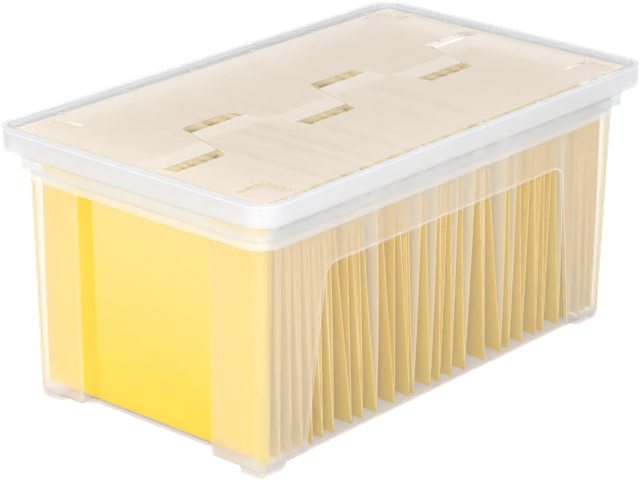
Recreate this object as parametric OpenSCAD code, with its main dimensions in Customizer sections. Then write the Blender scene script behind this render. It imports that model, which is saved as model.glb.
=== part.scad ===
// Portable file box of clear moulded plastic.
// A drafted tub carries a lift-off lid frame, and two interlocking wing flaps
// swing on snap hinges along the long sides of that frame. Hanging folders with
// steel rods hook over rails moulded into the tub's rim.
// X runs along the length, Y across, Z up. The origin is under the centre of the box.

/* [Lid] */
// Outer length of the lid
lid_l = 608; // [606:1:612]
// Outer width of the lid
lid_w = 360; // [359:1:363]
// Height from the feet to the top of the lid's lip
total_h = 287; // [286:1:292]
// Outer corner radius of the lid
lid_r = 30; // [28:1:32]
// Height of the lid's skirt
skirt_h = 22; // [20:1:24]
// Width of the raised lip on the short sides
lip_end = 9; // [8.5:0.5:9.5]
// Width of the raised lip on the long sides
lip_side = 6; // [5.5:0.5:6]

/* [Wings] */
// Pitch of the interlocking tabs along the seam
tab_pitch = 189.5; // [186:0.5:190]
// Reach of a tab beyond the middle of the box
tab_reach = 26; // [24:1:28]
// Distance of a notch's edge from the middle of the box
notch_depth = 43; // [42:1:46]
// Clearance from each wing's flank to the seam line
seam_gap = 0.6; // [0.5:0.1:1]

/* [Tub] */
// Outer length of the body below the collar
body_l = 558.8; // [556:1:560]
// Outer width of the body below the collar
body_w = 310.8; // [310:0.2:312]
// Draft of each wall over the body's height
body_draft = 3.8; // [3:0.2:4]
// Height of the feet
foot_h = 8; // [7:1:10]
// Wall thickness of the moulding
wall = 2.2; // [2:0.1:2.4]
// Depth of the recessed panel in each short side
recess_depth = 12; // [10:1:13]
// Half width of the recessed panel's flat
recess_half = 76.5; // [70:0.5:80]

/* [Folders] */
// Width of a folder card across the box
card_w = 297; // [294:1:297.5]
// Length of a folder's steel rod over its hooks
rod_l = 321; // [318:1:322]
// Thickness of the card
card_t = 0.6; // [0.5:0.1:0.8]

/* [Hidden] */
eps = 0.01;
corner_steps = 8;
skin = 1.8;

// Heights of the tub and the lid
lip_z = total_h - 2;
skirt_z = total_h - skirt_h;
flap_top = total_h - 4;
flap_under = flap_top - skin;
flange_z = total_h - 10;
floor_z = foot_h + 2;
band_z = 237.6;
ledge_z = 244.5;
step_z = 266;
rail_z = 254;
rail_half = 268;

// The seam between the wings
flank_slope = 0.33;
wing_end = 285;
wing_edge = 160.6;
flange_t = 1.6;

// Snap hinges: axis and stations of the front wing
pivot_y = 164.2;
pivot_z = 280.3;
pin_r = 1.5;
bore_r = 1.6;
barrel_r = 2.7;
arm_w = 4;
station_x = [for (k = [0:5]) -252 + k * tab_pitch / 2];

// Feet and the stacking pockets in the wings that take them
foot_c = [254, 135];
foot_half = [19.5, 14.6];
foot_flare = 1.4;
foot_r = 7;
pocket_c = [254, 137.2];
pocket_half = [21, 18.8];

// Lid frame ledge around the wings
ledge_x = wing_end + 0.6;
ledge_y = 167.6;

// Collar band and rim
band_half = [292.5, 168.5];
band_r = 28;
rim_half = [lid_l / 2 - 3.2, lid_w / 2 - 3.2];

// Body at its bottom and at the ledge
body_h = band_z - foot_h;
draft_angle = atan(body_draft / body_h);
base_half = [body_l / 2 - body_draft, body_w / 2 - body_draft];
body_r = 10;

// Clear window in each long side
window_h = 187.5;
window_half = 212;
window_lean = atan(25 / 190);

// Every folder as [bottom fold, front rod, rear rod] along the box
folders = [
    [-260.6, -263, -258], [-246, -252, -245], [-229, -239, -232], [-213, -228, -220],
    [-198, -215, -207], [-183, -203, -192], [-167, -187, -177], [-140, -172, -153],
    [-123, -148, -135], [-102, -130, -107], [-74, -102, -81], [-50, -76, -65],
    [-44, -60, -37], [-17, -32, -13], [-2, -8, 3], [17, 8, 21],
    [39, 26, 49], [72, 54, 62], [100, 67, 99], [114, 104, 117],
    [136, 122, 141], [161, 146, 159], [173, 164, 177], [201, 182, 199],
    [221, 204, 218], [238, 223, 234], [249.5, 238.5, 247], [260.4, 252.5, 260.5]];
rod_z = 250;
rod_h = 8;
rod_t = 0.9;
sleeve = [2.9, 1.7];
card_bottom = floor_z + 2.4;

function pad2(i) = str(i < 9 ? "0" : "", i + 1);
function card_name(i) = str("folder_card_", pad2(i));
function rods_name(i) = str("folder_rods_", pad2(i));

// Unit vector from a to b
function toward(a, b) = (b - a) / norm(b - a);

// A polygon's points with each corner rounded to its own radius, none where it is 0
function rounded(points, radii) = [
    for (i = [0:len(points) - 1])
        let (n = len(points),
             here = points[i],
             back = toward(here, points[(i + n - 1) % n]),
             ahead = toward(here, points[(i + 1) % n]),
             half = acos(back * ahead) / 2,
             r = radii[i])
            each (r == 0 ? [here] : corner_arc(here, back, ahead, half, r))];

function corner_arc(here, back, ahead, half, r) =
    let (mid = (back + ahead) / norm(back + ahead),
         centre = here + mid * r / sin(half),
         from = here + back * r / tan(half) - centre,
         to = here + ahead * r / tan(half) - centre)
        [for (k = [0:corner_steps])
            let (blend = from * sin((180 - 2 * half) * (1 - k / corner_steps))
                       + to * sin((180 - 2 * half) * k / corner_steps))
                centre + blend / sin(180 - 2 * half)];

// Outline with true round corners, from its half sizes
module rounded_rect(half, r) {
    square([2 * half[0] - 2 * r, 2 * half[1]], center = true);
    square([2 * half[0], 2 * half[1] - 2 * r], center = true);
    for (x = [-1, 1], y = [-1, 1])
        translate([x * (half[0] - r), y * (half[1] - r)]) circle(r, $fn = 64);
}

// Upright ring between two rounded outlines
module rounded_ring(half, r, inner, inner_r, z0, z1) {
    translate([0, 0, z0]) linear_extrude(z1 - z0) difference() {
        rounded_rect(half, r);
        rounded_rect(inner, inner_r);
    }
}

// Points of a rounded rectangle at one height, anticlockwise
function level(half, r, z) = [
    for (q = [0:3], i = [0:corner_steps])
        let (a = 90 * q + 90 * i / corner_steps,
             sx = q == 0 || q == 3 ? 1 : -1,
             sy = q < 2 ? 1 : -1)
            [sx * (half[0] - r) + r * cos(a), sy * (half[1] - r) + r * sin(a), z]];

// Solid between two rounded rectangles, for drafted walls
module drafted_block(half0, half1, r, z0, z1) {
    low = level(half0, r, z0);
    n = len(low);
    sides = [for (i = [0:n - 1]) [i, n + i, n + (i + 1) % n, (i + 1) % n]];
    polyhedron(
        concat(low, level(half1, r, z1)),
        concat([[for (i = [0:n - 1]) i]], [[for (i = [0:n - 1]) 2 * n - 1 - i]], sides));
}

// Half size of the body at a height, less a wall's thickness
function body_half(z, inset) =
    let (out = body_draft * (z - foot_h) / body_h - inset)
        [base_half[0] + out, base_half[1] + out];

// Trapezoid channels that sink the panels of the short sides
module end_recesses(grow) {
    flat = recess_half + grow * tan(22.5);
    far = 10;
    deep = recess_depth + grow;
    for (turn = [0, 180])
        rotate([0, 0, turn])
            translate([-base_half[0], 0, foot_h])
                rotate([0, -draft_angle, 0])
                    translate([0, 0, -15])
                        linear_extrude(band_z + 40)
                            polygon([[-far, -flat - deep - far], [deep, -flat],
                                     [deep, flat], [-far, flat + deep + far]]);
}

module body_outer() {
    top = ledge_z + 2;
    difference() {
        drafted_block(body_half(foot_h, 0), body_half(top, 0), body_r, foot_h, top);
        end_recesses(0);
    }
}

module body_cavity() {
    top = ledge_z + 2.5;
    difference() {
        drafted_block(body_half(floor_z, wall), body_half(top, wall),
                      body_r - wall, floor_z, top);
        end_recesses(wall);
    }
}

// One corner foot, grown or shrunk to make its hollow
module foot(inset, z0, z1) {
    low = foot_half - [inset, inset];
    top = low + [foot_flare, foot_flare];
    translate([foot_c[0], foot_c[1], 0]) drafted_block(low, top, foot_r - inset, z0, z1);
}

module each_corner() {
    for (x = [0, 1], y = [0, 1])
        mirror([x, 0, 0]) mirror([0, y, 0]) children();
}

// Raised ridge round the clear window of one long side
module window_ridge() {
    translate([0, -base_half[1] + 0.3, foot_h])
        rotate([90 + draft_angle, 0, 0])
            linear_extrude(0.9)
                difference() {
                    window_outline(1.2);
                    translate([0, -1]) window_outline(-1.2);
                }
}

module window_outline(grow) {
    low = window_half + grow / cos(window_lean);
    high = low - (window_h + grow) * tan(window_lean);
    r = 14 + grow;
    polygon(rounded([[-low, 0], [low, 0], [high, window_h + grow], [-high, window_h + grow]],
                    [0, 0, r, r]));
}

// Webs that stiffen the hollow collar, with a bay left free for the hand at each end
module collar_webs() {
    z0 = band_z + 1;
    for (side = [0, 180]) rotate([0, 0, side]) {
        for (k = [-5:5])
            translate([k * 50 - 0.8, -band_half[1] + 1, z0])
                cube([1.6, band_half[1] - body_w / 2 - 0.5, ledge_z - z0 + 1]);
        for (k = [-2, -1, 1, 2])
            translate([-band_half[0] + 1, k * 60 - 0.8, z0])
                cube([band_half[0] - body_l / 2 - 0.5, 1.6, ledge_z - z0 + 1]);
    }
}

module tub() {
    band_in = [band_half[0] - wall, band_half[1] - wall];
    rim_in = [rim_half[0] - 2, rim_half[1] - 2];
    rail_y = body_half(ledge_z + 2, 0)[1];
    color([0.95, 0.95, 0.95, 0.45]) {
        difference() {
            union() {
                body_outer();
                each_corner() foot(0, 0, floor_z - 0.5);
                rounded_ring(band_half, band_r, band_in, band_r - wall, band_z, step_z + 2);
                translate([0, 0, ledge_z]) linear_extrude(2)
                    rounded_rect([band_half[0] - 1, band_half[1] - 1], band_r - 1);
                collar_webs();
                for (side = [0, 180]) rotate([0, 0, side]) {
                    translate([-rail_half, -rail_y, ledge_z + 1])
                        cube([2 * rail_half, wall, rail_z - ledge_z - 1]);
                    window_ridge();
                }
                rounded_ring(rim_half, lid_r - 3, band_in, band_r - wall, step_z, step_z + 2);
                rounded_ring(rim_half, lid_r - 3, rim_in, lid_r - 5, step_z, lip_z - 0.2);
            }
            body_cavity();
            each_corner() foot(2, 2, floor_z + 1);
        }
    }
}

// Two bearing lugs with the moulded pin between them
module hinge_bearing() {
    offset_x = arm_w / 2 + 0.35;
    lug_t = 1.8;
    for (side = [-1, 1])
        translate([side * (offset_x + lug_t / 2) - lug_t / 2, 0, 0])
            rotate([90, 0, 90]) linear_extrude(lug_t) {
                polygon([[-173, 281.5], [-173, 276], [-167, pivot_z - 2.9],
                         [-pivot_y, pivot_z - 2.9], [-pivot_y, 282.2], [-167.8, 282.2]]);
                translate([-pivot_y, pivot_z]) circle(2.9, $fn = 48);
            }
    translate([-offset_x - lug_t, -pivot_y, pivot_z])
        rotate([0, 90, 0]) cylinder(h = 2 * (offset_x + lug_t), r = pin_r, $fn = 48);
}

module lid_frame() {
    outer = [lid_l / 2, lid_w / 2];
    inner = [outer[0] - lip_end, outer[1] - lip_side];
    plug = [inner[0] - 1.6, inner[1] - 1.6];
    color([0.97, 0.97, 0.98, 0.5]) {
        rounded_ring(outer, lid_r, outer - [2, 2], lid_r - 2, skirt_z, lip_z + eps);
        rounded_ring(outer, lid_r, inner, 20, lip_z, total_h);
        rounded_ring(inner + [0.4, 0.4], 20.4, plug, 18.4, 274, lip_z + eps);
        rounded_ring(inner, 20, [ledge_x, ledge_y], 6, flap_top - 2, flap_top);
        for (turn = [0, 180]) rotate([0, 0, turn]) {
            translate([ledge_x, -150, 274.8]) cube([1.8, 300, flap_top - 1 - 274.8]);
            translate([281, -150, 274.8]) cube([6.4, 300, 2]);
            for (x = station_x) translate([x, 0, 0]) hinge_bearing();
        }
    }
}

// Outline of the front wing, pulled in by an inset: tabs point to +Y
module wing_outline(inset) {
    side = seam_gap + inset / cos(atan(flank_slope));
    tip = tab_reach - inset;
    base = -notch_depth - inset;
    hinge = -wing_edge + inset;
    first = -2 * tab_pitch;
    tabs = [for (k = [0:3]) let (c = first + k * tab_pitch, d = c + tab_pitch / 2)
        each [[c + flank_slope * base + side, base], [c + flank_slope * tip + side, tip],
              [d - flank_slope * tip - side, tip], [d - flank_slope * base - side, base]]];
    radii = [for (k = [0:3]) each [2, 5, 2, 2]];
    far = 2.5 * tab_pitch;
    intersection() {
        polygon(rounded(concat(tabs, [[far, base], [far, hinge], [-far, hinge], [-far, base]]),
                        concat(radii, [0, 0, 0, 0])));
        translate([-wing_end + inset, -200]) square([2 * (wing_end - inset), 400]);
    }
}

module pocket_solid(grow, z0, z1) {
    for (x = [-1, 1])
        translate([x * pocket_c[0], -pocket_c[1], z0]) linear_extrude(z1 - z0)
            rounded_rect(pocket_half + [grow, grow], 4 + grow);
}

// Snap arm that wraps the frame's pin, with its mouth to the underside
module hinge_arm() {
    translate([-arm_w / 2, 0, 0]) rotate([90, 0, 90]) linear_extrude(arm_w)
        difference() {
            union() {
                translate([-pivot_y, pivot_z]) circle(barrel_r, $fn = 48);
                translate([-pivot_y, pivot_z - 1.4]) square([4.4, 3.3]);
            }
            translate([-pivot_y, pivot_z]) circle(bore_r, $fn = 48);
            translate([-pivot_y - 1.15, pivot_z - 4]) square([2.3, 4]);
        }
}

module wing() {
    rib_z = flange_z + 0.5;
    difference() {
        union() {
            translate([0, 0, flap_under]) linear_extrude(skin) wing_outline(0);
            translate([0, 0, flange_z]) linear_extrude(flap_under - flange_z + eps) difference() {
                wing_outline(0);
                wing_outline(flange_t);
            }
            // Longitudinal ribs, longer under the tabs than behind the notches
            for (k = [-2:3]) {
                x = (k - 0.5) * tab_pitch / 2;
                reach = k % 2 == 0 ? -notch_depth - 0.5 : -1;
                translate([x - 0.7, -wing_edge + 1, rib_z])
                    cube([1.4, wing_edge - 1 + reach, flap_under - rib_z + eps]);
            }
            // Cross rib and thicker skin of each finger lift
            translate([0, 0, rib_z]) linear_extrude(flap_under - rib_z + eps) intersection() {
                wing_outline(0);
                translate([-wing_end, -2]) square([2 * wing_end, 1.6]);
            }
            translate([0, 0, flap_under - 0.7]) linear_extrude(1) intersection() {
                wing_outline(0);
                translate([-wing_end, -1]) square([2 * wing_end, 40]);
            }
            pocket_solid(flange_t, 278.4, flap_under + eps);
            for (x = station_x) translate([x, 0, 0]) hinge_arm();
        }
        pocket_solid(0, 280, flap_top + 1);
    }
}

module front_wing() {
    color([0.95, 0.94, 0.92, 0.5]) wing();
}

module rear_wing() {
    color([0.95, 0.94, 0.92, 0.5]) rotate([0, 0, 180]) wing();
}

// A folded card: two leaves from one bottom fold, each ending in a sleeve for a rod
module folder_card(i) {
    fold = folders[i][0];
    top = rod_z - 0.4;
    slot = [sleeve[1], rod_h + 0.6];
    color([0.98, 0.85, 0.3])
        translate([0, card_w / 2, 0]) rotate([90, 0, 0]) linear_extrude(card_w) {
            for (rod = [folders[i][1], folders[i][2]])
                difference() {
                    union() {
                        polygon([[fold - card_t / 2, card_bottom], [fold + card_t / 2, card_bottom],
                                 [rod + card_t / 2, top + 0.5], [rod - card_t / 2, top + 0.5]]);
                        translate([rod - sleeve[0] / 2, top]) square([sleeve[0], rod_h + 1.8]);
                    }
                    translate([rod - slot[0] / 2, rod_z - 0.1]) square([slot[0], rod_h + 0.7]);
                }
        }
}

// The two steel strips of a folder, notched at both ends to hook over the rails
module folder_rods(i) {
    rail_c = body_half(ledge_z + 2, wall / 2)[1];
    color([0.75, 0.77, 0.8])
        for (rod = [folders[i][1], folders[i][2]])
            translate([rod + rod_t / 2, 0, 0]) rotate([90, 0, -90]) linear_extrude(rod_t)
                difference() {
                    translate([-rod_l / 2, rod_z]) square([rod_l, rod_h]);
                    for (side = [-1, 1])
                        translate([side * rail_c - 2, rod_z - 1]) square([4, rail_z - rod_z + 1.1]);
                }
}

tub();
lid_frame();
front_wing();
rear_wing();
for (i = [0:len(folders) - 1]) folder_card(i);
for (i = [0:len(folders) - 1]) folder_rods(i);
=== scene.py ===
"""Looks of the portable file box: a clear moulded tub and lid with hanging folders inside."""

import logging
import math
import random
from dataclasses import dataclass
from enum import Enum, IntEnum
from typing import Any, Iterable, Sequence

import bpy
import bmesh
from mathutils import Matrix, Vector


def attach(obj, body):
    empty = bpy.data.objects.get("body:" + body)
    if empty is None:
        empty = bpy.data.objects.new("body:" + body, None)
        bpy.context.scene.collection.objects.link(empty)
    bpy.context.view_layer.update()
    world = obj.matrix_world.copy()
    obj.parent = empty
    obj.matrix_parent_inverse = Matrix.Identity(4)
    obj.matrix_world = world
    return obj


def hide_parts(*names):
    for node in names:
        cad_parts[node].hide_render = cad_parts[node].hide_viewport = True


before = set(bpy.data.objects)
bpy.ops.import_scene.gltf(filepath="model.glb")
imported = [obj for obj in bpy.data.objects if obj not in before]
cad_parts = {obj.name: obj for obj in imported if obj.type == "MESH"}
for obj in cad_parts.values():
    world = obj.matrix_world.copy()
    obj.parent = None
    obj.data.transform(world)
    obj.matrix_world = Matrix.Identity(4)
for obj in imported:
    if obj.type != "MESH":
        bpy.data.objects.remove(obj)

log = logging.getLogger("file_box")
MM = 0.001
Pair = tuple[float, float]
Triple = tuple[float, float, float]
Colour = Triple
# Where a region ends and how wide its soft edge is, in metres.
Edge = tuple[float, float]
WHITE: Colour = (1.0, 1.0, 1.0)
# The places of a Mix node's sockets for colours.
MIX_LOW, MIX_HIGH, MIX_RESULT = 6, 7, 2


def linear(red: float, green: float, blue: float) -> Colour:
    """A colour as seen on a screen, 0 to 255 a channel, as linear light.

    Args:
        red: the red channel.
        green: the green channel.
        blue: the blue channel.

    Returns:
        The linear colour.
    """

    def one(value: float) -> float:
        """One channel."""
        share = value / 255
        return share / 12.92 if share <= 0.04045 else ((share + 0.055) / 1.055) ** 2.4

    return one(red), one(green), one(blue)


class Num:
    """A number that varies over a surface; Python's operators on it add Math nodes."""

    def __init__(self, sheet: "Sheet", socket: bpy.types.NodeSocket) -> None:
        """Wraps one output socket of a material's node sheet."""
        self.sheet = sheet
        self.socket = socket

    def math(self, operation: str, *values: Any) -> "Num":
        """Adds a Math node.

        Args:
            operation: the Math node's operation.
            values: its inputs in order, each a number or a Num.

        Returns:
            The node's result.
        """
        made = self.sheet.node("Math", {"operation": operation}, dict(enumerate(values)))
        return Num(self.sheet, made.outputs[0])

    def __add__(self, other: Any) -> "Num":
        """This plus other."""
        return self.math("ADD", self, other)

    __radd__ = __add__

    def __sub__(self, other: Any) -> "Num":
        """This less other."""
        return self.math("SUBTRACT", self, other)

    def __rsub__(self, other: Any) -> "Num":
        """Other less this."""
        return self.math("SUBTRACT", other, self)

    def __mul__(self, other: Any) -> "Num":
        """This times other."""
        return self.math("MULTIPLY", self, other)

    __rmul__ = __mul__

    def __abs__(self) -> "Num":
        """This without its sign."""
        return self.math("ABSOLUTE", self)

    def least(self, other: Any) -> "Num":
        """The smaller of this and other."""
        return self.math("MINIMUM", self, other)

    def most(self, other: Any) -> "Num":
        """The larger of this and other."""
        return self.math("MAXIMUM", self, other)

    def root(self) -> "Num":
        """The square root."""
        return self.math("SQRT", self)

    def past(self, edge: float, soft: float) -> "Num":
        """A mask: 0 below the edge, 1 above it, with a soft step between.

        Args:
            edge: the middle of the step.
            soft: the step's width.

        Returns:
            The mask.
        """
        made = self.sheet.node(
            "MapRange",
            {"interpolation_type": "SMOOTHSTEP", "clamp": True},
            {"Value": self, "From Min": edge - soft / 2, "From Max": edge + soft / 2},
        )
        return Num(self.sheet, made.outputs["Result"])


class Kind(Enum):
    """What a node sheet belongs to, with the type of its output node."""

    MATERIAL = "OutputMaterial"
    WORLD = "OutputWorld"


class Sheet:
    """The node sheet of a material or world, with short ways to add what the finishes use."""

    def __init__(self, name: str, kind: Kind = Kind.MATERIAL) -> None:
        """Starts an empty material or world.

        Args:
            name: the material's or world's name.
            kind: which of the two it is.
        """
        self.output = kind.value
        holders = bpy.data.worlds if kind is Kind.WORLD else bpy.data.materials
        self.holder = holders.new(name)
        self.holder.use_nodes = True
        self.tree = self.holder.node_tree
        self.tree.nodes.clear()

    def node(
        self,
        kind: str,
        settings: dict[str, Any] | None = None,
        inputs: dict[Any, Any] | None = None,
    ) -> bpy.types.Node:
        """Adds a node.

        Args:
            kind: the node's type without the ShaderNode prefix.
            settings: its own settings, set first.
            inputs: values, Nums or sockets for its input sockets.

        Returns:
            The node.
        """
        made = self.tree.nodes.new("ShaderNode" + kind)
        for name, value in (settings or {}).items():
            setattr(made, name, value)
        for name, value in (inputs or {}).items():
            self.feed(made.inputs[name], value)
        return made

    def feed(self, socket: bpy.types.NodeSocket, value: Any) -> None:
        """Links a socket to a Num or another socket, or sets its value.

        Args:
            socket: the input socket.
            value: a Num, a socket, a number, a colour or a vector.
        """
        if isinstance(value, Num):
            value = value.socket
        if isinstance(value, bpy.types.NodeSocket):
            self.tree.links.new(value, socket)
        elif isinstance(value, tuple) and len(value) == 3 and socket.type == "RGBA":
            socket.default_value = (*value, 1.0)
        else:
            socket.default_value = value

    def place(self) -> tuple[Num, Num, Num]:
        """The point's X, Y and Z in the box's own frame, in metres.

        Returns:
            The three places.
        """
        source = self.node("TexCoord").outputs["Object"]
        parts = self.node("SeparateXYZ", None, {0: source}).outputs
        return Num(self, parts[0]), Num(self, parts[1]), Num(self, parts[2])

    def noise(
        self, size: float, stretch: Triple = (1.0, 1.0, 1.0), detail: float = 2.0
    ) -> Num:
        """Soft random variation from 0 to 1.

        Args:
            size: how large a patch is, in metres.
            stretch: a scale for each axis; under 1 draws the patches out.
            detail: the noise's detail.

        Returns:
            The noise's level.
        """
        source = self.node("TexCoord").outputs["Object"]
        mapped = self.node("Mapping", None, {"Vector": source, "Scale": stretch})
        made = self.node(
            "TexNoise", None,
            {"Vector": mapped.outputs[0], "Scale": 1 / size, "Detail": detail},
        )
        return Num(self, made.outputs["Fac"])

    def blend(self, share: Any, low: Any, high: Any) -> bpy.types.NodeSocket:
        """A colour between two.

        Args:
            share: 0 for low, 1 for high, a number or a Num.
            low: a colour or a socket.
            high: a colour or a socket.

        Returns:
            The colour's socket.
        """
        made = self.node("Mix", {"data_type": "RGBA"})
        self.feed(made.inputs["Factor"], share)
        self.feed(made.inputs[MIX_LOW], low)
        self.feed(made.inputs[MIX_HIGH], high)
        return made.outputs[MIX_RESULT]

    def mix(
        self, share: Any, low: bpy.types.NodeSocket, high: bpy.types.NodeSocket
    ) -> bpy.types.NodeSocket:
        """Two shaders mixed: low where share is 0, high where it is 1."""
        made = self.node("MixShader", None, {0: share, 1: low, 2: high})
        return made.outputs[0]

    def patches(self, size: float, depth: float) -> Num:
        """Broad soft patches round 0, at most half of depth up or down."""
        return (self.noise(size, detail=1.0) - 0.5) * depth

    def bump(self, height: Num, depth: float) -> bpy.types.NodeSocket:
        """A normal from a height from 0 to 1, depth metres high."""
        made = self.node("Bump", None, {"Strength": 1.0, "Distance": depth, "Height": height})
        return made.outputs[0]

    def seen(self) -> Num:
        """1 where the camera sees a face or the world, straight, mirrored or through plastic.

        Returns:
            The mask.
        """
        path = self.node("LightPath").outputs
        straight, mirrored, through = (
            Num(self, path[f"Is {way} Ray"]) for way in ("Camera", "Glossy", "Transmission")
        )
        return straight.most(mirrored).most(through)

    def finish(self, surface: bpy.types.NodeSocket) -> Any:
        """Joins the surface to the output and returns the material or world."""
        self.node(self.output, None, {"Surface": surface})
        return self.holder


@dataclass(frozen=True)
class ClearPlastic:
    """Moulded clear polypropylene: part clear, part blurring, part milky.

    A ray from a lamp passes through it tinted, since such plastic scatters light
    forward and shades little. Each grain is its size in metres and its share of the
    grain's height.
    """

    tint: Colour = (0.99, 0.99, 0.99)
    lamp_tint: float = 0.97
    frost_roughness: float = 0.4
    frost_bend: float = 1.2
    gloss_roughness: float = 0.22
    mirror: float = 0.02
    edge_mirror: float = 0.9
    edge_power: float = 5.0
    grain: float = 0.00001
    fine_grain: Pair = (0.0011, 0.2)
    broad_grain: Pair = (0.009, 0.8)

    def build(
        self, sheet: Sheet, milk: Any, haze: Any, frost: Any, spread: Any
    ) -> bpy.types.Material:
        """Makes the material.

        Args:
            sheet: the sheet that the masks are on.
            milk: the colour of the milky share, a colour or a socket.
            haze: the milky share of each face, a number or a Num.
            frost: how much of the clear share is blurred.
            spread: how much of the rest is scattered all round.

        Returns:
            The material.
        """
        fine, fine_share = self.fine_grain
        broad, broad_share = self.broad_grain
        height = sheet.noise(fine) * fine_share + sheet.noise(broad) * broad_share
        normal = sheet.bump(height, self.grain)
        clear = sheet.node("BsdfTransparent", None, {"Color": self.tint})
        frosted = sheet.node(
            "BsdfRefraction", None,
            {"Color": self.tint, "Roughness": self.frost_roughness,
             "IOR": self.frost_bend, "Normal": normal},
        )
        scattered = sheet.node("BsdfTranslucent", None, {"Color": self.tint, "Normal": normal})
        milky = sheet.node(
            "BsdfPrincipled", None,
            {"Base Color": milk, "Roughness": self.gloss_roughness, "Normal": normal},
        )
        shine = sheet.node(
            "BsdfGlossy", None,
            {"Color": WHITE, "Roughness": self.gloss_roughness, "Normal": normal},
        )
        facing = Num(sheet, sheet.node("LayerWeight", None, {"Blend": 0.5}).outputs["Facing"])
        mirrored = facing.math("POWER", facing, self.edge_power) * self.edge_mirror + self.mirror
        through = sheet.mix(frost, clear.outputs[0], frosted.outputs[0])
        through = sheet.mix(spread, through, scattered.outputs[0])
        through = sheet.mix(mirrored, through, shine.outputs[0])
        seen = sheet.mix(haze, through, milky.outputs[0])
        light = sheet.node("LightPath").outputs["Is Shadow Ray"]
        lamp = sheet.node("BsdfTransparent", None, {"Color": (self.lamp_tint,) * 3})
        return sheet.finish(sheet.mix(light, seen, lamp.outputs[0]))


@dataclass(frozen=True)
class TubRegions:
    """Masks over the tub, each 1 on its region and 0 elsewhere."""

    below: Num
    long_wall: Num
    window: Num
    ridge: Num
    recess: Num
    panel: Num
    brink: Num
    corner: Num
    foot: Num
    low: Num


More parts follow.
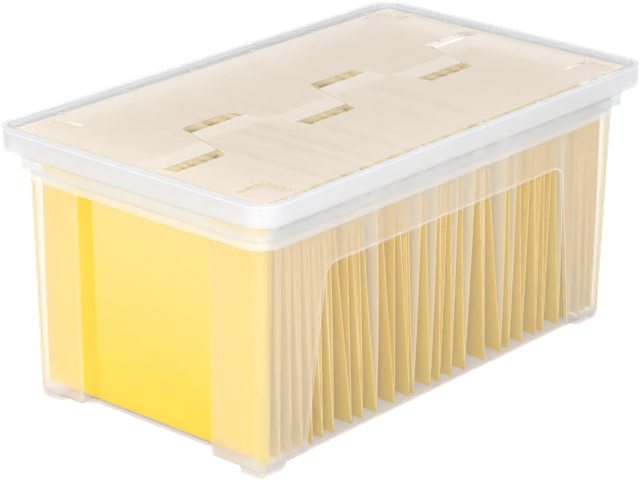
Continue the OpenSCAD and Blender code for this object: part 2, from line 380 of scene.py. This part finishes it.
@dataclass(frozen=True)
class TubFinish:
    """The tub's plastic: frosted walls with a polished window, clear end panels, milky collar.

    The window is a trapezium with rounded upper corners, inside a fine ridge. A haze is
    the milky share of a face, a milk is that share's colour, and a frost is how much of
    the clear share is blurred. The panel's haze rises by panel_rise a metre above
    panel_from. The patches are the size and depth of soft clouds in the haze. The long
    walls' warm milk is partly painted glow of the folders' light; the rounded corners
    and the foot get more haze with a darker milk as painted shade, and the brink of each
    end recess gets a whiter milk as a painted highlight.
    """

    window_half: float = 0.212
    window_top: float = 0.1955
    window_foot: float = 0.008
    window_slope: float = 25 / 190
    window_corner: float = 0.014
    window: Edge = (0.0, 0.0006)
    ridge: Edge = (0.0011, 0.0006)
    collar: Edge = (0.2376, 0.001)
    long_wall: Edge = (0.1482, 0.0004)
    end_wall: Edge = (0.258, 0.001)
    recess: Edge = (0.0889, 0.0008)
    panel: Edge = (0.0768, 0.0006)
    # The brink of each end recess, at brink_y across the box, gets a painted highlight: more haze
    # with a whiter milk.
    brink_y: float = 0.0885
    brink: Edge = (0.0009, 0.0006)
    corner_x: Edge = (0.262, 0.012)
    corner_y: Edge = (0.141, 0.008)
    foot: Edge = (0.0125, 0.003)
    low: Edge = (0.030, 0.04)
    patches: Pair = (0.11, 0.03)
    wall_haze: float = 0.14
    long_wall_haze: float = 0.04
    collar_haze: float = 0.12
    window_polish: float = 0.72
    panel_from: float = 0.04
    panel_rise: float = 0.72
    ridge_haze: float = 0.25
    # The foot, the lowest band of the tub, gets more haze with a darker milk: painted shade along
    # the bottom.
    foot_shade_haze: float = 0.30
    # The rounded corners get more haze with a darker, yellower milk: painted shade against the
    # lamps' light there.
    corner_shade_haze: float = 0.36
    brink_highlight_haze: float = 0.20
    wall_frost: float = 0.14
    corner_frost: float = 0.1
    low_frost: float = 0.3
    spread: float = 0.05
    wall_milk: Colour = (0.72, 0.65, 0.66)
    # Partly the plastic's own haze and partly painted glow: the warm tint stands in for the
    # folders' yellow light scattered in the frosted long walls.
    long_wall_milk_and_glow: Colour = (0.84, 0.79, 0.76)
    panel_milk: Colour = (0.86, 0.82, 0.74)
    # The darker milk of the painted shade on the rounded corners.
    corner_shade_milk: Colour = (0.66, 0.59, 0.36)
    # The whiter milk of the painted highlight along each recess's brink.
    brink_highlight_milk: Colour = (0.86, 0.84, 0.80)
    collar_milk: Colour = (0.70, 0.72, 0.75)
    # The darker milk of the painted shade along the foot.
    foot_shade_milk: Colour = (0.62, 0.55, 0.52)

    def inside_window(self, x: Num, z: Num) -> Num:
        """How far a point lies inside the window's outline.

        Args:
            x: the point's place along the box.
            z: its height.

        Returns:
            The distance in metres, below 0 outside the window.
        """
        lean = math.cos(math.atan(self.window_slope))
        half = self.window_half - (z - self.window_foot) * self.window_slope
        side = (self.window_corner - (half - abs(x)) * lean).most(0.0)
        top = (self.window_corner - (self.window_top - z)).most(0.0)
        return self.window_corner - (side * side + top * top).root()

    def regions(self, x: Num, y: Num, z: Num) -> TubRegions:
        """The masks of the tub's regions.

        Args:
            x: the point's place along the box.
            y: its place across the box.
            z: its height.

        Returns:
            The masks.
        """
        below = 1 - z.past(*self.collar)
        long_wall = abs(y).past(*self.long_wall) * below
        inside = self.inside_window(x, z)
        end_wall = abs(x).past(*self.end_wall) * (1 - long_wall) * below
        recess = end_wall * (1 - abs(y).past(*self.recess))
        return TubRegions(
            below=below,
            long_wall=long_wall,
            window=inside.past(*self.window) * long_wall,
            ridge=(1 - abs(inside).past(*self.ridge)) * long_wall,
            recess=recess,
            panel=recess * (1 - abs(y).past(*self.panel)),
            # Where the painted highlight along each recess's brink lies.
            brink=end_wall * (1 - abs(abs(y) - self.brink_y).past(*self.brink)),
            # The rounded corners, whose milk is darkened as painted shade.
            corner=abs(x).past(*self.corner_x) * abs(y).past(*self.corner_y) * below,
            # The foot, darkened as painted shade along the bottom.
            foot=1 - z.past(*self.foot),
            low=end_wall * (1 - z.past(*self.low)),
        )

    def haze(self, sheet: Sheet, on: TubRegions, z: Num) -> Num:
        """The milky share of each face.

        Args:
            sheet: the sheet that the masks are on.
            on: the masks.
            z: the point's height.

        Returns:
            The share, from 0 to 1.
        """
        walls = self.wall_haze + on.long_wall * self.long_wall_haze
        walls = walls + (1 - on.below) * self.collar_haze + sheet.patches(*self.patches)
        haze = walls * (1 - on.window * self.window_polish) * (1 - on.recess)
        haze = haze + on.panel * ((z - self.panel_from).most(0.0) * self.panel_rise)
        haze = haze + on.ridge * self.ridge_haze
        # Painted shade: the foot and the rounded corners get more haze with a darker milk.
        haze = haze.most(on.foot * self.foot_shade_haze).most(on.corner * self.corner_shade_haze)
        # A painted highlight along each recess's brink.
        return haze.most(on.brink * self.brink_highlight_haze)

    def milk(self, sheet: Sheet, on: TubRegions) -> bpy.types.NodeSocket:
        """The milky share's colour, region by region.

        Args:
            sheet: the sheet that the masks are on.
            on: the masks.

        Returns:
            The colour's socket.
        """
        # The long walls' milk carries painted glow from the folders.
        milk = sheet.blend(on.long_wall, self.wall_milk, self.long_wall_milk_and_glow)
        milk = sheet.blend(on.panel, milk, self.panel_milk)
        # A darker milk on the rounded corners, painted shade.
        milk = sheet.blend(on.corner, milk, self.corner_shade_milk)
        # The whiter milk of the painted highlight along each recess's brink.
        milk = sheet.blend(on.brink, milk, self.brink_highlight_milk)
        milk = sheet.blend(on.below, self.collar_milk, milk)
        # A darker milk along the foot, painted shade.
        return sheet.blend(on.foot, milk, self.foot_shade_milk)

    def material(self) -> bpy.types.Material:
        """Makes the tub's material.

        Returns:
            The material.
        """
        sheet = Sheet("tub_plastic")
        x, y, z = sheet.place()
        on = self.regions(x, y, z)
        frosted = 1 - on.window.most(on.recess)
        frost = self.wall_frost + on.corner * self.corner_frost + on.low * self.low_frost
        haze = self.haze(sheet, on, z)
        milk = self.milk(sheet, on)
        return ClearPlastic().build(sheet, milk, haze, frost * frosted, self.spread * frosted)


@dataclass(frozen=True)
class LidFinish:
    """The lid frame's plastic, a little whiter than the tub's, with a milkier lip on top."""

    lip: Edge = (0.2850, 0.003)
    patches: Pair = (0.09, 0.06)
    haze: float = 0.24
    lip_haze: float = 0.30
    frost: float = 0.4
    spread: float = 0.2
    skirt_milk: Colour = (0.60, 0.592, 0.61)
    lip_milk: Colour = (0.75, 0.758, 0.79)

    def material(self) -> bpy.types.Material:
        """Makes the frame's material.

        Returns:
            The material.
        """
        sheet = Sheet("lid_plastic")
        _, _, z = sheet.place()
        lip = z.past(*self.lip)
        haze = self.haze + sheet.patches(*self.patches) + lip * self.lip_haze
        milk = sheet.blend(lip, self.skirt_milk, self.lip_milk)
        return ClearPlastic().build(sheet, milk, haze, self.frost, self.spread)


@dataclass(frozen=True)
class WingFinish:
    """The wings' plastic: hazy on top, whiter where each tab is thicker, darker over a rib.

    The ribs repeat along the box. A pocket is a sunk rectangle whose floor is as hazy
    as the top. It has its centre, its half sizes and the heights between which its
    floor lies.
    """

    tab: Edge = (-0.0005, 0.0015)
    top: Edge = (0.2826, 0.0003)
    rib: Edge = (0.0008, 0.0008)
    rib_pitch: float = 0.09475
    pocket: Pair = (0.254, 0.1372)
    pocket_half: Pair = (0.0204, 0.0182)
    pocket_floor: Pair = (0.2780, 0.2803)
    pocket_soft: float = 0.0004
    floor_soft: float = 0.0003
    patches: Pair = (0.12, 0.05)
    wall_haze: float = 0.22
    top_haze: float = 0.33
    tab_haze: float = 0.16
    top_frost: float = 0.8
    top_spread: float = 0.4
    wall_spread: float = 0.05
    rib_share: float = 0.8
    top_milk: Colour = (0.79, 0.70, 0.62)
    tab_milk: Colour = (0.79, 0.73, 0.66)
    rib_milk: Colour = (0.74, 0.68, 0.60)
    wall_milk: Colour = (0.87, 0.78, 0.62)

    def pocket_mask(self, x: Num, y: Num, z: Num) -> Num:
        """1 on the floors of the stacking pockets.

        Args:
            x: the point's place along the box.
            y: its place across the box.
            z: its height.

        Returns:
            The mask.
        """
        low, high = self.pocket_floor
        floor = z.past(low, self.floor_soft) * (1 - z.past(high, self.floor_soft))
        for place, middle, half in zip((x, y), self.pocket, self.pocket_half):
            floor = floor * (1 - abs(abs(place) - middle).past(half, self.pocket_soft))
        return floor

    def material(self, turned: bool) -> bpy.types.Material:
        """One wing's material.

        Args:
            turned: True for the rear wing, whose tabs point the other way.

        Returns:
            The material.
        """
        sheet = Sheet("rear_wing_plastic" if turned else "front_wing_plastic")
        x, y, z = sheet.place()
        out = y * (-1.0 if turned else 1.0)
        tab = out.past(*self.tab)
        half_pitch = self.rib_pitch / 2
        rib = 1 - abs(x.math("PINGPONG", x + half_pitch, half_pitch)).past(*self.rib)
        rib = rib * (1 - tab)
        top = z.past(*self.top).most(self.pocket_mask(x, y, z))
        cover = self.top_haze + tab * self.tab_haze + sheet.patches(*self.patches)
        haze = self.wall_haze + top * cover
        milk = sheet.blend(tab, self.top_milk, self.tab_milk)
        milk = sheet.blend(rib * self.rib_share, milk, self.rib_milk)
        milk = sheet.blend(top, self.wall_milk, milk)
        frost = top * self.top_frost
        spread = top * self.top_spread + self.wall_spread
        return ClearPlastic().build(sheet, milk, haze, frost, spread)


@dataclass(frozen=True)
class CardFinish:
    """Folder card: matt, fibrous, letting a little light through.

    Its colour goes from front to deep by soft clouds, by its fibres and by the batch
    that each folder comes from.
    """

    name: str
    front: Colour = linear(255, 230, 60)
    deep: Colour = linear(253, 216, 40)
    glow: float = 0.24
    cloud_size: float = 0.05
    cloud_stretch: Triple = (1.0, 0.6, 1.0)
    cloud_share: float = 0.57
    fibre_size: float = 0.0011
    fibre_stretch: Triple = (1.0, 0.35, 1.0)
    fibre_detail: float = 4.0
    fibre_share: float = 0.02
    batches: int = 7
    batch_stride: int = 5
    batch_share: float = 0.35
    roughness: Pair = (0.65, 0.2)
    gloss: float = 0.2
    depth: float = 0.000004

    def material(self, number: int) -> bpy.types.Material:
        """One face of the card of one folder.

        Args:
            number: the folder's number, which shades its card a little.

        Returns:
            The material.
        """
        sheet = Sheet(f"{self.name}_{number:02d}")
        cloud = sheet.noise(self.cloud_size, self.cloud_stretch)
        fibre = sheet.noise(self.fibre_size, self.fibre_stretch, self.fibre_detail)
        batch = self.batch_share * (number * self.batch_stride % self.batches) / (self.batches - 1)
        shade = cloud * self.cloud_share + fibre * self.fibre_share + batch
        least, more = self.roughness
        card = sheet.node(
            "BsdfPrincipled", None,
            {
                "Base Color": sheet.blend(shade.most(0.0).least(1.0), self.front, self.deep),
                "Roughness": fibre * more + least,
                "Specular IOR Level": self.gloss,
                "Normal": sheet.bump(fibre, self.depth),
            },
        )
        glowing = sheet.node("BsdfTranslucent", None, {"Color": self.front})
        return sheet.finish(sheet.mix(self.glow, card.outputs[0], glowing.outputs[0]))


@dataclass(frozen=True)
class SteelFinish:
    """Zinc-plated steel strip with rolling marks along it and faint spangles."""

    light: Colour = linear(196, 200, 206)
    dark: Colour = linear(168, 174, 182)
    mark_size: float = 0.0006
    mark_stretch: Triple = (1.0, 0.02, 1.0)
    mark_detail: float = 3.0
    mark_depth: float = 0.00002
    spangle_size: float = 0.006
    spangle_stretch: Triple = (1.0, 0.7, 1.0)
    roughness: Pair = (0.25, 0.25)

    def material(self) -> bpy.types.Material:
        """Makes the rods' material.

        Returns:
            The material.
        """
        sheet = Sheet("rod_steel")
        drawn = sheet.noise(self.mark_size, self.mark_stretch, self.mark_detail)
        spangle = sheet.noise(self.spangle_size, self.spangle_stretch, 1.0)
        least, more = self.roughness
        steel = sheet.node(
            "BsdfPrincipled", None,
            {
                "Base Color": sheet.blend(spangle, self.light, self.dark),
                "Metallic": 1.0,
                "Roughness": drawn * more + least,
                "Normal": sheet.bump(drawn, self.mark_depth),
            },
        )
        return sheet.finish(steel.outputs[0])


def alone(obj: bpy.types.Object) -> None:
    """Selects one object only and makes it active.

    Args:
        obj: the object.
    """
    bpy.ops.object.select_all(action="DESELECT")
    obj.select_set(True)
    bpy.context.view_layer.objects.active = obj


def apply_modifiers(obj: bpy.types.Object) -> None:
    """Applies every modifier of an object, in order.

    Args:
        obj: the object.
    """
    alone(obj)
    for name in [m.name for m in obj.modifiers]:
        bpy.ops.object.modifier_apply(modifier=name)


def dress(obj: bpy.types.Object, material: bpy.types.Material) -> None:
    """Gives a piece one material."""
    obj.data.materials.clear()
    obj.data.materials.append(material)


@dataclass
class Moulding:
    """One moulded piece of the box: the solid from the frame with its edges eased.

    Lengths are in metres and angles in degrees.
    """

    node: str
    piece: str
    body: str
    slot: str
    merge: float = 0.00003
    flat_angle: float = 0.4
    ease: float = 0.0004
    ease_segments: int = 2
    edge_angle: float = 50.0
    smooth_angle: float = 35.0
    flat_weight: int = 100

    def build(self, material: bpy.types.Material) -> bpy.types.Object:
        """Makes the piece.

        Args:
            material: the finish of the whole piece.

        Returns:
            The piece, in place of its node.
        """
        obj = bpy.data.objects.new(self.piece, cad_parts[self.node].data.copy())
        bpy.context.scene.collection.objects.link(obj)
        alone(obj)
        bpy.ops.object.mode_set(mode="EDIT")
        bpy.ops.mesh.select_all(action="SELECT")
        bpy.ops.mesh.remove_doubles(threshold=self.merge)
        bpy.ops.mesh.dissolve_limited(angle_limit=math.radians(self.flat_angle))
        bpy.ops.object.mode_set(mode="OBJECT")
        eased = obj.modifiers.new("eased_edges", "BEVEL")
        eased.width = self.ease
        eased.segments = self.ease_segments
        eased.limit_method = "ANGLE"
        eased.angle_limit = math.radians(self.edge_angle)
        eased.use_clamp_overlap = True
        apply_modifiers(obj)
        bpy.ops.object.shade_smooth_by_angle(angle=math.radians(self.smooth_angle))
        flat = obj.modifiers.new("flat_faces", "WEIGHTED_NORMAL")
        flat.weight = self.flat_weight
        flat.keep_sharp = True
        apply_modifiers(obj)
        dress(obj, material)
        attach(obj, self.body)
        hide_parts(self.node)
        log.info("%s: %d faces", obj.name, len(obj.data.polygons))
        return obj


class Side(IntEnum):
    """The kinds of face of a folder's card, in the order of its materials."""

    OUTSIDE = 0
    INSIDE = 1
    CUT_EDGE = 2


@dataclass
class Folder:
    """A hanging folder's card: two leaves from one fold, each ending round a rod.

    The fold, front and rear are places along the box, and the foot, rod_foot and rod_top
    are heights, all in metres. A leaf bows by a share of the gap between the rods and
    warps by a length. A file inside has two leaves of its own, which end at a share of
    the gap and at a height.
    """

    number: int
    fold: float
    front: float
    rear: float
    pale: bool
    width: float = 0.297
    thick: float = 0.0009
    foot: float = 0.0124
    rod_foot: float = 0.2496
    rod_top: float = 0.2594
    sleeve: float = 0.0012
    sleeve_foot: float = 0.0015
    sleeve_round: float = 0.001
    bow: Pair = (0.02, 0.10)
    warp: float = 0.001
    file_lift: float = 0.012
    file_narrower: float = 0.004
    file_ends: tuple[Pair, Pair] = ((0.22, 0.40), (0.60, 0.78))
    file_top: Pair = (0.226, 0.243)
    file_bow: float = 0.05
    steps: int = 12
    same_place: float = 0.00001
    cut_edge_normal: float = 0.9
    leaf_normal: float = 0.3
    smooth_angle: float = 40.0

    def bowed(self, start: Vector, end: Vector, reach: float, bow: float) -> list[Pair]:
        """A way between two points that bows out in its middle.

        Args:
            start: where it starts, which isn't in the list.
            end: the point that it goes towards.
            reach: the share of the way to the end that it goes.
            bow: how far it bows out.

        Returns:
            Points along the box and up, in metres.
        """
        points = []
        for k in range(1, self.steps + 1):
            share = k / self.steps
            here = start.lerp(end, reach * share)
            points.append((here.x + bow * math.sin(math.pi * share), here.y))
        return points

    def leaf(self, rod: float, bow: float) -> list[Pair]:
        """The way of one leaf from the fold up and round its rod.

        Args:
            rod: the rod's place along the box.
            bow: how far the leaf bows out in its middle.

        Returns:
            Points along the box and up, in metres.
        """
        start, end = Vector((self.fold, self.foot)), Vector((rod, self.rod_foot))
        low, high = self.rod_foot + self.sleeve_foot, self.rod_top - self.sleeve_round
        return self.bowed(start, end, 1.0, bow) + [
            (rod - self.sleeve, low),
            (rod - self.sleeve, high),
            (rod - self.sleeve / 2, self.rod_top),
            (rod + self.sleeve / 2, self.rod_top),
            (rod + self.sleeve, high),
            (rod + self.sleeve, low),
        ]

    def file_leaf(self, share: float, top: float, bow: float) -> list[Pair]:
        """The way of one leaf of the file that stands inside the folder.

        Args:
            share: where it ends between the two rods, from 0 to 1.
            top: how high it ends.
            bow: how far it bows out in its middle.

        Returns:
            Points along the box and up, in metres.
        """
        rod = self.front + (self.rear - self.front) * share
        start, end = Vector((self.fold, self.foot + self.file_lift)), Vector((rod, self.rod_foot))
        return self.bowed(start, end, (top - start.y) / (end.y - start.y), bow)

    def walk(self, way: Iterable[Pair], x: float, z: float) -> None:
        """Extrudes the selected edge through each point of a way.

        Args:
            way: points along the box and up, in metres.
            x: the edge's place along the box.
            z: its height.
        """
        for to_x, to_z in way:
            bpy.ops.mesh.extrude_region_move(
                TRANSFORM_OT_translate={"value": (to_x - x, 0.0, to_z - z)}
            )
            x, z = to_x, to_z

    def middle(self, place: Vector) -> float:
        """The middle between the leaves at a point's height, along the box."""
        share = (place.z - self.foot) / (self.rod_foot - self.foot)
        return self.fold + ((self.front + self.rear) / 2 - self.fold) * share

    def paint(self, obj: bpy.types.Object) -> None:
        """Gives the sleeves and the faces inside a pale fold the inner finish.

        The cut edges at both ends get their own finish.

        Args:
            obj: the card.
        """
        for face in obj.data.polygons:
            inward = (self.middle(face.center) - face.center.x) * face.normal.x > 0
            sleeve = face.center.z > self.rod_foot
            if abs(face.normal.y) > self.cut_edge_normal:
                face.material_index = Side.CUT_EDGE
            elif sleeve or self.pale and abs(face.normal.x) > self.leaf_normal and inward:
                face.material_index = Side.INSIDE

    def sheet(self, fold: Pair, width: float) -> None:
        """Adds a plane in edit mode and folds it flat into one edge across the box.

        Args:
            fold: where the edge lies, along the box and up.
            width: its length.
        """
        bpy.ops.mesh.select_all(action="DESELECT")
        bpy.ops.mesh.primitive_plane_add(size=width, location=(fold[0], 0, fold[1]))
        bpy.ops.transform.resize(value=(0.0, 1.0, 1.0), center_override=(fold[0], 0, fold[1]))
        bpy.ops.mesh.remove_doubles(threshold=self.same_place)

    def pick(self, obj: bpy.types.Object, fold: Pair) -> None:
        """Selects only the edge that lies on a fold.

        Args:
            obj: the card, in edit mode.
            fold: where the edge lies, along the box and up.
        """
        edit = bmesh.from_edit_mesh(obj.data)
        bpy.ops.mesh.select_all(action="DESELECT")
        for edge in edit.edges:
            off = max(abs(v.co.x - fold[0]) + abs(v.co.z - fold[1]) for v in edge.verts)
            edge.select_set(off < self.same_place)
        bmesh.update_edit_mesh(obj.data)

    def build(
        self, finishes: Sequence[bpy.types.Material], filled: bool, chance: random.Random
    ) -> bpy.types.Object:
        """Makes the card.

        Args:
            finishes: its outer faces, its inner faces and its cut edges.
            filled: whether a file stands inside it.
            chance: the source of its small differences.

        Returns:
            The card, in place of its node.
        """
        fold = (self.fold, self.foot)
        data = bpy.data.meshes.new(f"card_{self.number:02d}")
        obj = bpy.data.objects.new(data.name, data)
        bpy.context.scene.collection.objects.link(obj)
        alone(obj)
        bpy.ops.object.mode_set(mode="EDIT")
        self.sheet(fold, self.width)
        gap = self.rear - self.front
        for rod, sign in ((self.front, -1.0), (self.rear, 1.0)):
            self.pick(obj, fold)
            bow = sign * gap * chance.uniform(*self.bow) + chance.uniform(-self.warp, self.warp)
            self.walk(self.leaf(rod, bow), *fold)
        if filled:
            inner = (self.fold, self.foot + self.file_lift)
            self.sheet(inner, self.width - self.file_narrower)
            for share in [chance.uniform(*ends) for ends in self.file_ends]:
                self.pick(obj, inner)
                way = self.file_leaf(share, chance.uniform(*self.file_top), gap * self.file_bow)
                self.walk(way, *inner)
        bpy.ops.object.mode_set(mode="OBJECT")
        skin = obj.modifiers.new("card", "SOLIDIFY")
        skin.thickness = self.thick
        skin.offset = 0.0
        apply_modifiers(obj)
        bpy.ops.object.shade_smooth_by_angle(angle=math.radians(self.smooth_angle))
        dress(obj, finishes[Side.OUTSIDE])
        obj.data.materials.append(finishes[Side.INSIDE])
        obj.data.materials.append(finishes[Side.CUT_EDGE])
        self.paint(obj)
        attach(obj, "box")
        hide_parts(f"folder_card_{self.number:02d}")
        log.info("%s: %d faces", obj.name, len(obj.data.polygons))
        return obj


@dataclass
class Contents:
    """All hanging folders.

    Their places are fold, front rod and rear rod along the box, in millimetres. Some are
    filled with a file, and some show the card's pale inner side. The sides are the card's
    finishes in the order of Side.
    """

    places: tuple[Triple, ...] = (
        (-260.6, -263, -258), (-246, -252, -245), (-229, -239, -232), (-213, -228, -220),
        (-198, -215, -207), (-183, -203, -192), (-167, -187, -177), (-140, -172, -153),
        (-123, -148, -135), (-102, -130, -107), (-74, -102, -81), (-50, -76, -65),
        (-44, -60, -37), (-17, -32, -13), (-2, -8, 3), (17, 8, 21),
        (39, 26, 49), (72, 54, 62), (100, 67, 99), (114, 104, 117),
        (136, 122, 141), (161, 146, 159), (173, 164, 177), (201, 182, 199),
        (221, 204, 218), (238, 223, 234), (249.5, 238.5, 247), (260.4, 252.5, 260.5),
    )
    filled: tuple[int, ...] = (2, 3, 4, 5, 6, 7, 9, 12, 15, 18, 22, 26)
    pale: tuple[int, ...] = (10, 13, 14, 16, 17, 18, 19, 20, 24)
    sides: tuple[CardFinish, ...] = (
        CardFinish("card_outside"),
        CardFinish("card_inside", linear(255, 244, 208), linear(252, 238, 196)),
        CardFinish("card_edge", linear(255, 236, 178), linear(255, 230, 160)),
    )
    seed: int = 7

    def build(self) -> None:
        """Makes the cards and dresses the rods."""
        chance = random.Random(self.seed)
        steel = SteelFinish().material()
        for number, (fold, front, rear) in enumerate(self.places, 1):
            folder = Folder(number, fold * MM, front * MM, rear * MM, number in self.pale)
            finishes = [side.material(number) for side in self.sides]
            folder.build(finishes, number in self.filled, chance)
            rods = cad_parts[f"folder_rods_{number:02d}"]
            for held in rods.material_slots:
                held.material = steel
            log.info("%s: dressed", rods.name)


@dataclass
class Lamp:
    """A square soft lamp that faces the box.

    Its level is how bright it makes a white face turned to it, where 1 is white.
    """

    name: str
    place: Triple
    size: float
    level: float
    tone: Colour
    aim: Triple = (0.0, 0.0, 0.14)

    def build(self) -> bpy.types.Object:
        """Makes the lamp, unseen by the camera.

        Returns:
            The lamp.
        """
        data = bpy.data.lights.new(self.name, "AREA")
        data.size = self.size
        data.color = self.tone
        aim = Vector(self.aim) - Vector(self.place)
        data.energy = self.level * math.pi ** 2 * aim.length_squared
        obj = bpy.data.objects.new(self.name, data)
        obj.location = self.place
        obj.rotation_euler = aim.to_track_quat("-Z", "Y").to_euler()
        obj.visible_camera = False
        bpy.context.scene.collection.objects.link(obj)
        return obj


@dataclass
class Studio:
    """White floor, soft light and the camera.

    The camera's place in metres, its three directions and its lens in millimetres were
    solved from the photograph's straight edges.
    """

    eye: Triple = (-1.9965, -1.7016, 1.1333)
    right: Triple = (0.6541, -0.7564, 0.0079)
    up: Triple = (0.2662, 0.2399, 0.9336)
    back: Triple = (-0.7080, -0.6086, 0.3582)
    lens: float = 153.16
    sensor: float = 36.0
    sight: Pair = (0.05, 50.0)
    sky: float = 0.76
    floor_size: float = 24.0
    floor_colour: Colour = (0.90, 0.90, 0.90)
    floor_lift: float = 0.6
    clear_bounces: int = 48
    bounces: int = 16
    lamps: tuple[Lamp, ...] = (
        Lamp("key_lamp", (-2.2, -0.2, 1.7), 2.6, 0.36, (1.0, 0.97, 0.93)),
        Lamp("fill_lamp", (-1.3, -2.2, 1.2), 3.0, 0.57, (0.93, 0.965, 1.0)),
        Lamp("back_lamp", (-0.3, 2.5, 1.3), 2.0, 0.19, WHITE),
    )

    def camera(self) -> None:
        """Makes the camera at the photograph's place."""
        data = bpy.data.cameras.new("camera")
        data.lens = self.lens
        data.sensor_width = self.sensor
        data.clip_start, data.clip_end = self.sight
        obj = bpy.data.objects.new("camera", data)
        bpy.context.scene.collection.objects.link(obj)
        turn = Matrix((self.right, self.up, self.back)).transposed()
        obj.matrix_world = Matrix.Translation(self.eye) @ turn.to_4x4()
        bpy.context.scene.camera = obj

    def sky_light(self) -> None:
        """A white world, plain in light and full white where it is seen."""
        sheet = Sheet("studio", Kind.WORLD)
        light = sheet.node("Background", None, {"Color": WHITE, "Strength": self.sky})
        shown = sheet.node("Background", None, {"Color": WHITE, "Strength": 1.0})
        both = sheet.mix(sheet.seen(), light.outputs[0], shown.outputs[0])
        bpy.context.scene.world = sheet.finish(both)

    def floor(self) -> None:
        """A pale floor, lifted to white where it is seen, that keeps the box's shadow."""
        bpy.ops.object.select_all(action="DESELECT")
        bpy.ops.mesh.primitive_plane_add(size=self.floor_size, location=(0, 0, 0))
        obj = bpy.context.object
        obj.name = "studio_floor"
        sheet = Sheet("studio_floor")
        matt = sheet.node("BsdfDiffuse", None, {"Color": self.floor_colour})
        lift = {"Color": WHITE, "Strength": sheet.seen() * self.floor_lift}
        lifted = sheet.node("Emission", None, lift)
        both = sheet.node("AddShader", None, {0: matt.outputs[0], 1: lifted.outputs[0]})
        dress(obj, sheet.finish(both.outputs[0]))

    def build(self) -> None:
        """Makes the whole studio."""
        scene = bpy.context.scene
        scene.view_settings.view_transform = "Standard"
        scene.cycles.transparent_max_bounces = self.clear_bounces
        scene.cycles.max_bounces = self.bounces
        scene.cycles.transmission_bounces = self.bounces
        self.sky_light()
        self.floor()
        for lamp in self.lamps:
            lamp.build()
        self.camera()
        log.info("studio: %d lamps", len(self.lamps))


class Part(Enum):
    """The four mouldings of the box."""

    TUB = Moulding("tub", "tub_moulding", "box", "tub_plastic")
    FRAME = Moulding("lid_frame", "lid_frame_moulding", "lid", "lid_plastic")
    FRONT = Moulding("front_wing", "front_wing_moulding", "front_flap", "wing_plastic")
    REAR = Moulding("rear_wing", "rear_wing_moulding", "rear_flap", "wing_plastic")


def main() -> None:
    """Builds the box, its contents and the studio."""
    logging.basicConfig(level=logging.INFO, format="%(name)s: %(message)s")
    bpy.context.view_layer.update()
    Part.TUB.value.build(TubFinish().material())
    Part.FRAME.value.build(LidFinish().material())
    Part.FRONT.value.build(WingFinish().material(turned=False))
    Part.REAR.value.build(WingFinish().material(turned=True))
    Contents().build()
    Studio().build()


if __name__ == "__main__":
    main()
